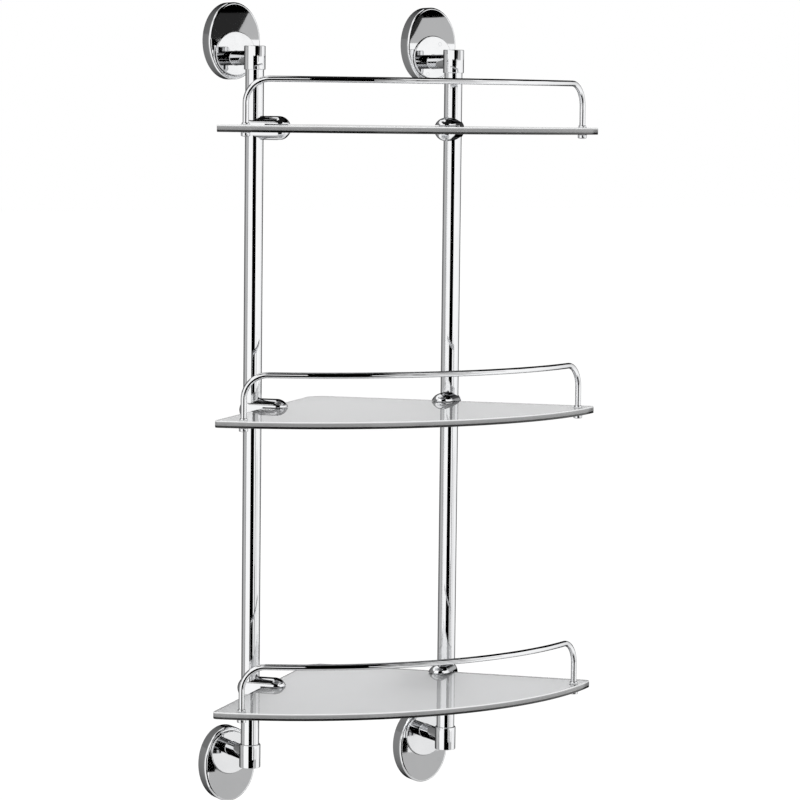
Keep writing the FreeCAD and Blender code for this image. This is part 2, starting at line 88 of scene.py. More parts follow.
def lathe(bm, profile, centre, axis, steps, closed=False):
    # turns (radius, height) pairs about an axis through centre
    axis = Vector(axis).normalized()
    across = axis.orthogonal().normalized()
    other = axis.cross(across)
    rings = []
    for radius, height in profile:
        points = []
        for i in range(steps):
            turn = 2 * math.pi * i / steps
            out = across * math.cos(turn) + other * math.sin(turn)
            points.append(Vector(centre) + axis * height + out * max(radius, meshing["leastRing"]))
        rings.append(ring(bm, points))
    flat = bm.faces.layers.int["flat"]
    for i, (first, second) in enumerate(zip(rings, rings[1:])):
        level = abs(profile[i][1] - profile[i + 1][1]) < meshing["level"]
        for face in bridge(bm, first, second):
            face[flat] = level
    if closed:
        bridge(bm, rings[-1], rings[0])
    else:
        for loop in (rings[0], rings[-1]):
            bm.faces.new(loop)[flat] = 1


def rounded(radius, top, size, steps=5):
    # quarter round from the flank to a flat end at height top, facing down where size is below 0
    way = 1 if size > 0 else -1
    size = abs(size)
    points = []
    for i in range(steps + 1):
        turn = math.pi / 2 * i / steps
        points.append((radius - size * (1 - math.cos(turn)), top - way * size * (1 - math.sin(turn))))
    return points


def addPiece(name, bm, body, finishes, stands, sharp=meshing["sharp"]):
    bmesh.ops.remove_doubles(bm, verts=bm.verts, dist=meshing["weld"])
    bmesh.ops.dissolve_degenerate(bm, dist=meshing["sliver"], edges=bm.edges)
    bmesh.ops.recalc_face_normals(bm, faces=bm.faces)
    bmesh.ops.scale(bm, vec=(mm, mm, mm), verts=bm.verts)
    flat = bm.faces.layers.int["flat"]
    rounds = [not face[flat] for face in bm.faces]
    bm.faces.layers.int.remove(flat)
    mesh = bpy.data.meshes.new(name)
    bm.to_mesh(mesh)
    bm.free()
    mesh.set_sharp_from_angle(angle=math.radians(sharp))
    mesh.polygons.foreach_set("use_smooth", rounds)
    obj = bpy.data.objects.new(name, mesh)
    scene.collection.objects.link(obj)
    for finish in finishes:
        mesh.materials.append(finish)
    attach(obj, body)
    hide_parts(*stands)


# nodes
def addNode(tree, kind, **settings):
    node = tree.nodes.new(kind)
    for key, value in settings.items():
        if key in node.inputs:
            node.inputs[key].default_value = value
        else:
            setattr(node, key, value)
    return node


def feed(tree, value, socket):
    # a socket is linked, a number is set
    if hasattr(value, "links"):
        tree.links.new(value, socket)
    else:
        socket.default_value = value


def combine(tree, operation, first, second):
    node = addNode(tree, "ShaderNodeMath", operation=operation)
    feed(tree, first, node.inputs[0])
    feed(tree, second, node.inputs[1])
    return node.outputs[0]


def spread(tree, source, low, high, start, end):
    # stretches the span from low to high over the span from start to end
    node = addNode(tree, "ShaderNodeMapRange")
    labels = ("Value", "From Min", "From Max", "To Min", "To Max")
    for label, value in zip(labels, (source, low, high, start, end)):
        feed(tree, value, node.inputs[label])
    return node.outputs["Result"]


def colourSockets(sockets):
    return [socket for socket in sockets if socket.type == "RGBA"]


def colourBetween(tree, mask, first, second):
    node = addNode(tree, "ShaderNodeMix", data_type="RGBA")
    tree.links.new(mask, node.inputs["Factor"])
    for socket, colour in zip(colourSockets(node.inputs), (first, second)):
        socket.default_value = (*colour, 1.0)
    return colourSockets(node.outputs)[0]


def multiply(tree, colour, share):
    node = addNode(tree, "ShaderNodeMix", data_type="RGBA", blend_type="MULTIPLY", Factor=1.0)
    for socket, source in zip(colourSockets(node.inputs), (colour, share)):
        tree.links.new(source, socket)
    return colourSockets(node.outputs)[0]


def bumpFrom(tree, shader, height, strength, distance):
    node = addNode(tree, "ShaderNodeBump", Strength=strength, Distance=distance)
    tree.links.new(height, node.inputs["Height"])
    tree.links.new(node.outputs["Normal"], shader.inputs["Normal"])


# shared surface effects
def newGroup(name, inputs, outputs):
    group = bpy.data.node_groups.new(name, "ShaderNodeTree")
    for label, value in inputs:
        socket = group.interface.new_socket(label, in_out="INPUT", socket_type="NodeSocketFloat")
        socket.default_value = value
    for label in outputs:
        group.interface.new_socket(label, in_out="OUTPUT", socket_type="NodeSocketFloat")
    return group, group.nodes.new("NodeGroupInput"), group.nodes.new("NodeGroupOutput")


# smears lie where the noise is over low, full from high on, and hairlines run along z
hazeMarks = {"low": 0.46, "high": 0.74, "hairlines": (2600.0, 2600.0, 70.0)}


def makeHaze():
    # wiped smears and fine hairlines on a polished surface
    inputs = (("Size", 26.0), ("Clean", 0.03), ("Smeared", 0.09), ("Hairlines", 0.02))
    group, given, result = newGroup("wipedHaze", inputs, ("Roughness", "Smears"))
    where = addNode(group, "ShaderNodeTexCoord")
    smear = addNode(group, "ShaderNodeTexNoise", Detail=5.0, Roughness=0.62, Distortion=0.6)
    group.links.new(where.outputs["Object"], smear.inputs["Vector"])
    group.links.new(given.outputs["Size"], smear.inputs["Scale"])
    mask = spread(group, smear.outputs["Fac"], hazeMarks["low"], hazeMarks["high"], 0.0, 1.0)
    lines = addNode(group, "ShaderNodeTexNoise", Scale=1.0, Detail=2.0)
    stretch = addNode(group, "ShaderNodeMapping", Scale=hazeMarks["hairlines"])
    group.links.new(where.outputs["Object"], stretch.inputs["Vector"])
    group.links.new(stretch.outputs["Vector"], lines.inputs["Vector"])
    fine = combine(group, "MULTIPLY", lines.outputs["Fac"], given.outputs["Hairlines"])
    base = spread(group, mask, 0.0, 1.0, given.outputs["Clean"], given.outputs["Smeared"])
    group.links.new(combine(group, "ADD", base, fine), result.inputs["Roughness"])
    group.links.new(mask, result.inputs["Smears"])
    return group


# shares of a drop's cell: a ring rises from start to crest and is gone at end
dropRings = {"start": 0.1, "crest": 0.16, "end": 0.2}


def makeDrops():
    # dried water marks: thin rings left by small drops
    group, given, result = newGroup("driedDrops", (("Density", 70.0), ("Sparse", 0.7)), ("Rings", "Height"))
    where = addNode(group, "ShaderNodeTexCoord")
    cells = addNode(group, "ShaderNodeTexVoronoi", feature="F1", Randomness=1.0)
    group.links.new(where.outputs["Object"], cells.inputs["Vector"])
    group.links.new(given.outputs["Density"], cells.inputs["Scale"])
    outer = spread(group, cells.outputs["Distance"], dropRings["crest"], dropRings["end"], 1.0, 0.0)
    inner = spread(group, cells.outputs["Distance"], dropRings["start"], dropRings["crest"], 0.0, 1.0)
    tint = addNode(group, "ShaderNodeSeparateColor")
    group.links.new(cells.outputs["Color"], tint.inputs["Color"])
    kept = combine(group, "GREATER_THAN", tint.outputs["Red"], given.outputs["Sparse"])
    band = combine(group, "MULTIPLY", combine(group, "MULTIPLY", outer, inner), kept)
    group.links.new(band, result.inputs["Rings"])
    group.links.new(combine(group, "MULTIPLY", outer, kept), result.inputs["Height"])
    return group


# a flat surface has a pointiness of level, and the rubbing is thinner where the grain is low
rubbing = {"level": 0.5, "grain": 180.0, "low": 0.3, "high": 0.7, "thinnest": 0.35}


def makeRubbed():
    # edges and high spots that cloths and fingers polish
    group, given, result = newGroup("rubbedEdges", (("Reach", 0.56),), ("Edge",))
    shape = addNode(group, "ShaderNodeNewGeometry")
    grain = addNode(group, "ShaderNodeTexNoise", Scale=rubbing["grain"], Detail=3.0)
    where = addNode(group, "ShaderNodeTexCoord")
    group.links.new(where.outputs["Object"], grain.inputs["Vector"])
    high = spread(group, shape.outputs["Pointiness"], rubbing["level"], given.outputs["Reach"], 0.0, 1.0)
    rough = spread(group, grain.outputs["Fac"], rubbing["low"], rubbing["high"], rubbing["thinnest"], 1.0)
    group.links.new(combine(group, "MULTIPLY", high, rough), result.inputs["Edge"])
    return group


def makeSwell():
    # slow waviness of plated or pressed metal, and a fine grain
    inputs = (("Wave", 45.0), ("Grain", 900.0), ("Share", 0.15))
    group, given, result = newGroup("surfaceSwell", inputs, ("Height",))
    where = addNode(group, "ShaderNodeTexCoord")
    wave = addNode(group, "ShaderNodeTexNoise", Detail=1.0)
    grain = addNode(group, "ShaderNodeTexNoise", Detail=2.0)
    for node, label in ((wave, "Wave"), (grain, "Grain")):
        group.links.new(where.outputs["Object"], node.inputs["Vector"])
        group.links.new(given.outputs[label], node.inputs["Scale"])
    fine = combine(group, "MULTIPLY", grain.outputs["Fac"], given.outputs["Share"])
    group.links.new(combine(group, "ADD", wave.outputs["Fac"], fine), result.inputs["Height"])
    return group


effects = {"haze": makeHaze(), "drops": makeDrops(), "rubbed": makeRubbed(), "swell": makeSwell()}


def useEffect(tree, name, **values):
    node = tree.nodes.new("ShaderNodeGroup")
    node.node_tree = effects[name]
    for label, value in values.items():
        node.inputs[label].default_value = value
    return node


# finishes
def emptyLook(name):
    look = bpy.data.materials.new(name)
    look.use_nodes = True
    tree = look.node_tree
    tree.nodes.clear()
    return look, tree, tree.nodes.new("ShaderNodeOutputMaterial")


def newLook(name):
    look, tree, end = emptyLook(name)
    shader = tree.nodes.new("ShaderNodeBsdfPrincipled")
    tree.links.new(shader.outputs["BSDF"], end.inputs["Surface"])
    return look, tree, shader


chromeLooks = {
    "polishedTube": {
        "bright": (0.93, 0.935, 0.945), "dull": (0.86, 0.87, 0.885), "clean": 0.025, "smeared": 0.06,
        "wave": 30.0, "bump": 0.02,
    },
    "bentWire": {
        "bright": (0.93, 0.935, 0.945), "dull": (0.85, 0.86, 0.875), "clean": 0.03, "smeared": 0.07,
        "wave": 60.0, "bump": 0.02,
    },
    "platedCasting": {
        "bright": (0.92, 0.925, 0.935), "dull": (0.84, 0.85, 0.865), "clean": 0.03, "smeared": 0.07,
        "wave": 70.0, "bump": 0.03,
    },
    "pressedCover": {
        "bright": (0.92, 0.925, 0.935), "dull": (0.85, 0.86, 0.87), "clean": 0.025, "smeared": 0.055,
        "wave": 40.0, "bump": 0.03,
    },
}
# edgeTint is what the plating still mirrors at a glancing angle, spots and wear add roughness
plating = {"edgeTint": (0.02, 0.02, 0.022), "smears": 0.5, "spots": 0.06, "wear": 0.03, "depth": 0.0004}


def makeChrome(name):
    values = chromeLooks[name]
    clean, smeared = values["clean"], values["smeared"]
    look, tree, shader = newLook(name)
    haze = useEffect(tree, "haze", Size=24.0, Clean=clean, Smeared=smeared, Hairlines=0.015)
    drops = useEffect(tree, "drops", Density=95.0, Sparse=0.8)
    rubbed = useEffect(tree, "rubbed", Reach=0.58)
    swell = useEffect(tree, "swell", Wave=values["wave"], Grain=1400.0, Share=0.05)
    shader.inputs["Metallic"].default_value = 1.0
    shader.inputs["Specular Tint"].default_value = (*plating["edgeTint"], 1.0)
    smears = combine(tree, "MULTIPLY", haze.outputs["Smears"], plating["smears"])
    marks = combine(tree, "MAXIMUM", smears, drops.outputs["Rings"])
    colour = colourBetween(tree, marks, values["bright"], values["dull"])
    tree.links.new(colour, shader.inputs["Base Color"])
    spots = combine(tree, "MULTIPLY", drops.outputs["Rings"], plating["spots"])
    wear = combine(tree, "MULTIPLY", rubbed.outputs["Edge"], plating["wear"])
    rough = combine(tree, "ADD", combine(tree, "ADD", haze.outputs["Roughness"], spots), wear)
    tree.links.new(rough, shader.inputs["Roughness"])
    bumpFrom(tree, shader, swell.outputs["Height"], values["bump"], plating["depth"])
    return look


groundGlass = {
    "clear": (0.96, 0.965, 0.97), "marked": (0.86, 0.865, 0.87),
    "clean": 0.1, "smeared": 0.18, "through": 0.15,
}
# the bands of an edge give the share of the colour left at each part of its height, from below: they paint a
# dark reflection low on the edge and a highlight at its top
glassLooks = {
    "shelfGlass": {
        "clear": (0.95, 0.955, 0.965), "marked": (0.9, 0.91, 0.92),
        "clean": 0.0, "smeared": 0.03, "through": 1.0,
    },
    "satinGlass": {
        "clear": (0.64, 0.649, 0.664), "marked": (0.6, 0.61, 0.63),
        "clean": 0.5, "smeared": 0.58, "through": 1.0,
    },
    "glassEdge": {
        **groundGlass,
        "paintedReflectionBands": ((0.0, 0.004), (0.29, 0.006), (0.35, 0.3), (0.5, 0.3), (0.8, 0.36), (0.87, 1.0)),
    },
    "glassArris": {
        **groundGlass,
        "paintedReflectionBands": ((0.0, 0.005), (0.4, 0.01), (0.6, 1.0)),
    },
}
glazing = {"ior": 1.52, "spots": 0.08, "bump": 0.02, "depth": 0.00005}


# paints shade by height up a glass edge: a near-black painted reflection low down and a painted highlight at
# the top
def paintReflectionByHeight(tree, colour, paintedReflectionBands):
    where = addNode(tree, "ShaderNodeTexCoord")
    split = addNode(tree, "ShaderNodeSeparateXYZ")
    ramp = addNode(tree, "ShaderNodeValToRGB")
    tree.links.new(where.outputs["Generated"], split.inputs[0])
    tree.links.new(split.outputs["Z"], ramp.inputs[0])
    stops = ramp.color_ramp.elements
    while len(stops) < len(paintedReflectionBands):
        stops.new(0.5)
    for stop, (position, share) in zip(stops, paintedReflectionBands):
        stop.position = position
        stop.color = (share, share, share, 1.0)
    return multiply(tree, colour, ramp.outputs["Color"])


def makeGlass(name):
    values = glassLooks[name]
    clean, smeared = values["clean"], values["smeared"]
    look, tree, shader = newLook(name)
    haze = useEffect(tree, "haze", Size=16.0, Clean=clean, Smeared=smeared, Hairlines=0.004)
    drops = useEffect(tree, "drops", Density=60.0, Sparse=0.86)
    shader.inputs["Transmission Weight"].default_value = values["through"]
    shader.inputs["IOR"].default_value = glazing["ior"]
    colour = colourBetween(tree, drops.outputs["Rings"], values["clear"], values["marked"])
    # the glass edges and arrises get their painted reflection and painted highlight here
    if "paintedReflectionBands" in values:
        colour = paintReflectionByHeight(tree, colour, values["paintedReflectionBands"])
    tree.links.new(colour, shader.inputs["Base Color"])
    spots = combine(tree, "MULTIPLY", drops.outputs["Rings"], glazing["spots"])
    tree.links.new(combine(tree, "ADD", haze.outputs["Roughness"], spots), shader.inputs["Roughness"])
    bumpFrom(tree, shader, drops.outputs["Height"], glazing["bump"], glazing["depth"])
    return look


linerLook = {
    "pale": (0.8, 0.81, 0.82), "grimy": (0.68, 0.69, 0.69),
    "milky": 0.25, "reach": (0.002, 0.002, 0.002), "bump": 0.15, "depth": 0.0002,
}


def makeLiner():
    look, tree, shader = newLook("softLiner")
    haze = useEffect(tree, "haze", Size=120.0, Clean=0.38, Smeared=0.6, Hairlines=0.05)
    swell = useEffect(tree, "swell", Wave=350.0, Grain=2600.0, Share=0.5)
    colour = colourBetween(tree, haze.outputs["Smears"], linerLook["pale"], linerLook["grimy"])
    tree.links.new(colour, shader.inputs["Base Color"])
    tree.links.new(haze.outputs["Roughness"], shader.inputs["Roughness"])
    shader.inputs["Subsurface Weight"].default_value = linerLook["milky"]
    shader.inputs["Subsurface Radius"].default_value = linerLook["reach"]
    bumpFrom(tree, shader, swell.outputs["Height"], linerLook["bump"], linerLook["depth"])
    return look


zincLook = {
    "light": (0.66, 0.67, 0.68), "dark": (0.5, 0.51, 0.53), "spangle": 260.0, "contrast": 0.8,
    "bump": 0.08, "depth": 0.0002,
}


def makeZinc():
    look, tree, shader = newLook("zincPlate")
    where = addNode(tree, "ShaderNodeTexCoord")
    spangle = addNode(tree, "ShaderNodeTexVoronoi", feature="F1", Scale=zincLook["spangle"])
    tree.links.new(where.outputs["Object"], spangle.inputs["Vector"])
    tint = addNode(tree, "ShaderNodeSeparateColor")
    tree.links.new(spangle.outputs["Color"], tint.inputs["Color"])
    rubbed = useEffect(tree, "rubbed", Reach=0.56)
    haze = useEffect(tree, "haze", Size=60.0, Clean=0.3, Smeared=0.5, Hairlines=0.08)
    flakes = combine(tree, "MULTIPLY", tint.outputs["Red"], zincLook["contrast"])
    mask = combine(tree, "MAXIMUM", flakes, rubbed.outputs["Edge"])
    colour = colourBetween(tree, mask, zincLook["dark"], zincLook["light"])
    tree.links.new(colour, shader.inputs["Base Color"])
    tree.links.new(haze.outputs["Roughness"], shader.inputs["Roughness"])
    shader.inputs["Metallic"].default_value = 1.0
    bumpFrom(tree, shader, spangle.outputs["Distance"], zincLook["bump"], zincLook["depth"])
    return look


screwLook = {"face": (0.47, 0.475, 0.485), "worn": (0.68, 0.685, 0.69), "bump": 0.1, "depth": 0.0001}


def makeScrewSteel():
    look, tree, shader = newLook("screwSteel")
    haze = useEffect(tree, "haze", Size=220.0, Clean=0.22, Smeared=0.42, Hairlines=0.08)
    rubbed = useEffect(tree, "rubbed", Reach=0.55)
    swell = useEffect(tree, "swell", Wave=700.0, Grain=3800.0, Share=0.6)
    colour = colourBetween(tree, rubbed.outputs["Edge"], screwLook["face"], screwLook["worn"])
    tree.links.new(colour, shader.inputs["Base Color"])
    tree.links.new(haze.outputs["Roughness"], shader.inputs["Roughness"])
    shader.inputs["Metallic"].default_value = 1.0
    bumpFrom(tree, shader, swell.outputs["Height"], screwLook["bump"], screwLook["depth"])
    return look


looks = {name: makeChrome(name) for name in chromeLooks}
looks.update({name: makeGlass(name) for name in glassLooks})
looks.update({"softLiner": makeLiner(), "zincPlate": makeZinc(), "screwSteel": makeScrewSteel()})
print("materials ready:", ", ".join(sorted(looks)))


# upright tubes
tube = {"radius": tubeHalf[0], "half": tubeHalf[2], "bore": 7.0, "bevel": 0.3, "rows": 24, "around": 128}


def makeTube(side):
    bm = newShape()
    wall, bore, half, bevel = tube["radius"], tube["bore"], tube["half"], tube["bevel"]
    length, rows = 2 * (half - bevel), tube["rows"]
    profile = [(bore, -half), (wall - bevel, -half), (wall, -half + bevel)]
    profile += [(wall, -half + bevel + length * k / rows) for k in range(1, rows)]
    profile += [(wall, half - bevel), (wall - bevel, half), (bore, half)]
    place = (sides[side] * uprights["x"], uprights["y"], 0.0)
    lathe(bm, profile, place, upward, tube["around"], closed=True)
    addPiece("upright" + side, bm, "frame", [looks["polishedTube"]], [f"tube_{side.lower()}"])


for side in sides:
    makeTube(side)
print("uprights built")


# glass shelves
shelf = {
    "corner": 25.27, "flat": 13.5, "thickness": 2 * boxOf("glass_middle")[1][2], "arris": 0.6,
    "arc": 286.367, "arcY": 58.377, "tip": 4.0, "leg": (162.093, -169.056), "hole": 2.8, "holeArris": 0.3,
    "sideSteps": 24, "tipSteps": 10, "arcSteps": 120, "arrisSteps": 4, "holeSteps": 40,
}
shelfFinishes = ("shelfGlass", "glassEdge", "glassArris", "satinGlass")


def spoke(turn):
    return Vector((math.cos(turn), math.sin(turn)))


def shelfOutline():
    # right half from the back flat to the front, then its mirror
    corner = Vector((0.0, shelf["corner"]))
    along, inward = Vector((diagonal, -diagonal)), Vector((-diagonal, -diagonal))
    middle = Vector((0.0, shelf["arcY"]))
    inner = shelf["arc"] - shelf["tip"]
    start = corner + inward * shelf["tip"] - middle
    slope = start.dot(along)
    reach = -slope + math.sqrt(slope * slope - start.length_squared + inner * inner)
    centre = middle + start + along * reach
    first = math.atan2(diagonal, diagonal)
    last = math.atan2(*reversed(centre - middle))
    points = [Vector((shelf["flat"] / 2, shelf["corner"] - shelf["flat"] / 2))]
    edge = centre - inward * shelf["tip"]
    steps = shelf["sideSteps"]
    points += [points[0].lerp(edge, k / steps) for k in range(1, steps)]
    steps = shelf["tipSteps"]
    points += [centre + spoke(first + (last - first) * k / steps) * shelf["tip"] for k in range(steps + 1)]
    steps = shelf["arcSteps"] // 2
    sweep = -math.pi / 2 - last
    points += [middle + spoke(last + sweep * k / steps) * shelf["arc"] for k in range(1, steps)]
    front = Vector((0.0, shelf["arcY"] - shelf["arc"]))
    return points + [front] + [Vector((-p.x, p.y)) for p in reversed(points)]


def insetLoop(points, amount):
    # moves each corner of a clockwise loop inwards
    moved = []
    for i, p in enumerate(points):
        before, after = points[i - 1], points[(i + 1) % len(points)]
        coming, going = (p - before).normalized(), (after - p).normalized()
        first, second = Vector((coming.y, -coming.x)), Vector((going.y, -going.x))
        moved.append(p + (first + second) * (amount / (1 + first.dot(second))))
    return moved


def roundLoop(centre, radius):
    steps = shelf["holeSteps"]
    return [centre + spoke(2 * math.pi * k / steps) * radius for k in range(steps)]


def edgeHeights(arris):
    # (inset, height) pairs up an edge of the glass, with a quarter round at each arris
    half = shelf["thickness"] / 2
    upper = []
    for k in range(shelf["arrisSteps"] + 1):
        turn = math.pi / 2 * k / shelf["arrisSteps"]
        upper.append((arris * (1 - math.cos(turn)), half - arris * (1 - math.sin(turn))))
    return [(inset, -z) for inset, z in reversed(upper)] + upper


def makeShelf(level):
    bm = newShape()
    key = level.lower()
    outline = shelfOutline()
    stacks = [[(insetLoop(outline, inset), z) for inset, z in edgeHeights(shelf["arris"])]]
    for sign in sides.values():
        leg = Vector((sign * shelf["leg"][0], shelf["leg"][1]))
        heights = edgeHeights(shelf["holeArris"])
        stacks.append([(roundLoop(leg, shelf["hole"] + inset), z) for inset, z in heights])
    patches = {name: place for place, name in enumerate(shelfFinishes)}
    faces = {"satinGlass": [], "shelfGlass": []}
    for stack in stacks:
        rings = [ring(bm, [(p.x, p.y, levels[level] + z) for p in loop]) for loop, z in stack]
        for k, (lower, upper) in enumerate(zip(rings, rings[1:])):
            bridge(bm, lower, upper, patches["glassEdge" if k == shelf["arrisSteps"] else "glassArris"])
        faces["satinGlass"].append(rings[0])
        faces["shelfGlass"].append(rings[-1])
    flat = bm.faces.layers.int["flat"]
    for finish, loops in faces.items():
        edges = []
        for loop in loops:
            edges += [bm.edges.get((loop[i], loop[(i + 1) % len(loop)])) for i in range(len(loop))]
        filled = bmesh.ops.triangle_fill(bm, use_beauty=True, use_dissolve=False, edges=edges)
        for panel in filled["geom"]:
            if isinstance(panel, bmesh.types.BMFace):
                panel[flat] = 1
                panel.material_index = patches[finish]
    finishes = [looks[name] for name in shelfFinishes]
    addPiece("shelf" + level, bm, f"shelf_{key}", finishes, [f"glass_{key}"])


for level in levels:
    makeShelf(level)
print("glass shelves built")


# rails with their feet
rail = {
    "wire": 2.5, "radius": 278.568, "spread": 31.371, "height": 41.0, "bend": 20.0, "end": -5.7,
    "arcSteps": 96, "bendSteps": 18, "legSteps": 6, "around": 44,
}
railFoot = {
    "collar": 3.3, "collarHeight": 1.5, "collarRound": 0.6, "bore": 2.55, "washer": 0.5,
    "nut": 3.8, "nutHeight": 3.1, "nutBevel": 0.2, "dome": 0.9, "domeSteps": 8, "around": 56,
}


def railPath(z):
    # (point, sideways direction, forward direction) along the wire
    path = []
    middle = Vector((0.0, shelf["arcY"], z + rail["height"]))
    limit = math.radians(rail["spread"])
    bend = rail["bend"]

    def arcPoint(turn):
        out = Vector((math.sin(turn), -math.cos(turn), 0))
        return middle + out * rail["radius"], out, Vector((math.cos(turn), math.sin(turn), 0))

    for way in sides.values():
        point, out, ahead = arcPoint(way * limit)
        ahead = ahead * way
        leg = []
        for k in range(rail["bendSteps"] + 1):
            turn = math.pi / 2 * k / rail["bendSteps"]
            place = point + ahead * bend * math.sin(turn) + upward * bend * (math.cos(turn) - 1)
            leg.append((place, out, (ahead * math.cos(turn) - upward * math.sin(turn)) * way))
        foot = leg[-1][0]
        drop = foot.z - (z + rail["end"])
        steps = rail["legSteps"]
        leg += [(foot - upward * drop * k / steps, out, -upward * way) for k in range(1, steps + 1)]
        if way < 0:
            path += list(reversed(leg))
            steps = rail["arcSteps"]
            path += [arcPoint(-limit + 2 * limit * k / steps) for k in range(1, steps)]
        else:
            path += leg
    return path


def makeRail(level):
    bm = newShape()
    key = level.lower()
    rings = []
    for point, out, ahead in railPath(levels[level]):
        lift = ahead.cross(out)
        loop = []
        for i in range(rail["around"]):
            turn = 2 * math.pi * i / rail["around"]
            loop.append(point + (out * math.cos(turn) + lift * math.sin(turn)) * rail["wire"])
        rings.append(ring(bm, loop))
    for first, second in zip(rings, rings[1:]):
        bridge(bm, first, second)
    bm.faces.new(rings[0])
    bm.faces.new(rings[-1])
    addPiece("rail" + level, bm, f"shelf_{key}", [looks["bentWire"]], [f"rail_{key}"])


def makeRailFeet(level):
    key = level.lower()
    seat = shelf["thickness"] / 2 + railFoot["washer"]
    top, under = levels[level] + seat, levels[level] - seat
    collars, nuts = newShape(), newShape()
    for sign in sides.values():
        place = (sign * shelf["leg"][0], shelf["leg"][1], 0.0)
        size, bore, end = railFoot["collar"], railFoot["bore"], top + railFoot["collarHeight"]
        profile = [(bore, top), (size, top)] + rounded(size, end, railFoot["collarRound"]) + [(bore, end)]
        lathe(collars, profile, place, upward, railFoot["around"], closed=True)
        size, bevel, dome = railFoot["nut"], railFoot["nutBevel"], railFoot["dome"]
        base, steps = under - railFoot["nutHeight"] + dome, railFoot["domeSteps"]
        profile = [(0.0, under), (size - bevel, under), (size, under - bevel), (size, base)]
        for k in range(1, steps + 1):
            turn = math.pi / 2 * k / steps
            profile.append((size * math.cos(turn), base - dome * math.sin(turn)))
        lathe(nuts, profile, place, upward, railFoot["around"])
    finish = [looks["platedCasting"]]
    addPiece("railCollars" + level, collars, f"shelf_{key}", finish, [f"rail_collars_{key}"])
    addPiece("railNuts" + level, nuts, f"shelf_{key}", finish, [f"rail_nuts_{key}"])


for level in levels:
    makeRail(level)
    makeRailFeet(level)
print("rails built")


# shelf clips
clip = {
    "radius": 10.3, "back": 11.3, "reach": 32.8, "slot": 3.6, "slotStart": 12.7, "bore": 8.05, "screw": 2.05,
    "clampAt": 23.0, "cutLength": 30.0, "poleWeld": 1e-3, "sharp": 28,
    "domeSteps": 24, "barSteps": 16, "around": 112, "boreAround": 96, "screwAround": 40,
}


def clipBlock():
    # a round bar along x with a domed end at each side
    bm = newShape()
    size = clip["radius"]
    start, end = size - clip["back"], clip["reach"] - size
    quarter = [math.pi / 2 * k / clip["domeSteps"] for k in range(clip["domeSteps"] + 1)]
    profile = [(size * math.sin(turn), start - size * math.cos(turn)) for turn in quarter]
    profile += [(size, start + (end - start) * k / clip["barSteps"]) for k in range(1, clip["barSteps"])]
    profile += [(size * math.cos(turn), end + size * math.sin(turn)) for turn in quarter]
    lathe(bm, profile, (0, 0, 0), (1, 0, 0), clip["around"])
    bmesh.ops.remove_doubles(bm, verts=bm.verts, dist=clip["poleWeld"])
    bmesh.ops.dissolve_degenerate(bm, dist=meshing["sliver"], edges=bm.edges)
    bmesh.ops.recalc_face_normals(bm, faces=bm.faces)
    return bm


def clipCutters():
    # the glass's slot, the tube's bore and the two screw holes
    length, bored = clip["cutLength"], clip["bore"]
    slot = bmesh.new()
    bmesh.ops.create_cube(slot, size=1.0)
    for corner in slot.verts:
        along = clip["slotStart"] if corner.co.x < 0 else 2 * length
        corner.co = (along, math.copysign(length, corner.co.y), math.copysign(clip["slot"], corner.co.z))
    bore, hold, clamp = newShape(), newShape(), newShape()
    lathe(bore, [(bored, -length), (bored, length)], (0, 0, 0), (0, 0, 1), clip["boreAround"])
    drill = [(clip["screw"], 0.0), (clip["screw"], length)]
    lathe(hold, drill, (0, 0, 0), (-1, 0, 0), clip["screwAround"])
    lathe(clamp, drill, (clip["clampAt"], 0, 0), (0, 0, -1), clip["screwAround"])
    return [slot, bore, hold, clamp]


def cutMesh(block, cutters):
    # takes the cutters out of the block and gives back the mesh
    def asObject(bm, name):
        for face in bm.faces:
            face.smooth = True
        bmesh.ops.recalc_face_normals(bm, faces=bm.faces)
        mesh = bpy.data.meshes.new(name)
        bm.to_mesh(mesh)
        bm.free()
        obj = bpy.data.objects.new(name, mesh)
        scene.collection.objects.link(obj)
        return obj

    body = asObject(block, "clipBlank")
    tools = [asObject(bm, f"clipCutter{i}") for i, bm in enumerate(cutters)]
    for tool in tools:
        cut = body.modifiers.new(tool.name, "BOOLEAN")
        cut.operation = "DIFFERENCE"
        cut.solver = "EXACT"
        cut.object = tool
    depsgraph = bpy.context.evaluated_depsgraph_get()
    result = bpy.data.meshes.new_from_object(body.evaluated_get(depsgraph))
    for obj in [body] + tools:
        mesh = obj.data
        bpy.data.objects.remove(obj)
        bpy.data.meshes.remove(mesh)
    return result


clipShape = cutMesh(clipBlock(), clipCutters())


def makeClip(side, level):
    bm = bmesh.new()
    bm.from_mesh(clipShape)
    flat = bm.faces.layers.int["flat"]
    for face in bm.faces:
        face[flat] = 0
    sign = sides[side]
    ahead = Vector((-sign * diagonal, -diagonal, 0))
    turned = Matrix((ahead, upward.cross(ahead), upward)).transposed().to_4x4()
    turned.translation = (sign * uprights["x"], uprights["y"], levels[level])
    bmesh.ops.transform(bm, matrix=turned, verts=bm.verts)
    body, node = f"shelf_{level.lower()}", f"clip_{side.lower()}_{level.lower()}"
    addPiece(f"clip{side}{level}", bm, body, [looks["platedCasting"]], [node], clip["sharp"])


for level in levels:
    for side in sides:
        makeClip(side, level)
print("clips built")


# wall brackets: a casting and its cover
arm = {
    "stemZ": 304.0, "foot": 19.0, "footRise": 4.0, "footBack": 3.0, "footFront": 16.2, "footRound": 0.6,
    "stem": 6.25, "flare": 0.4, "sunk": 2.0, "sleeve": 9.25, "sleeveHalf": 10.25, "sleeveRound": 0.6,
    "cap": 3.0, "bore": 8.05, "footSteps": 6, "flareSteps": 5,
    "footAround": 144, "stemAround": 72, "sleeveAround": 112,
}
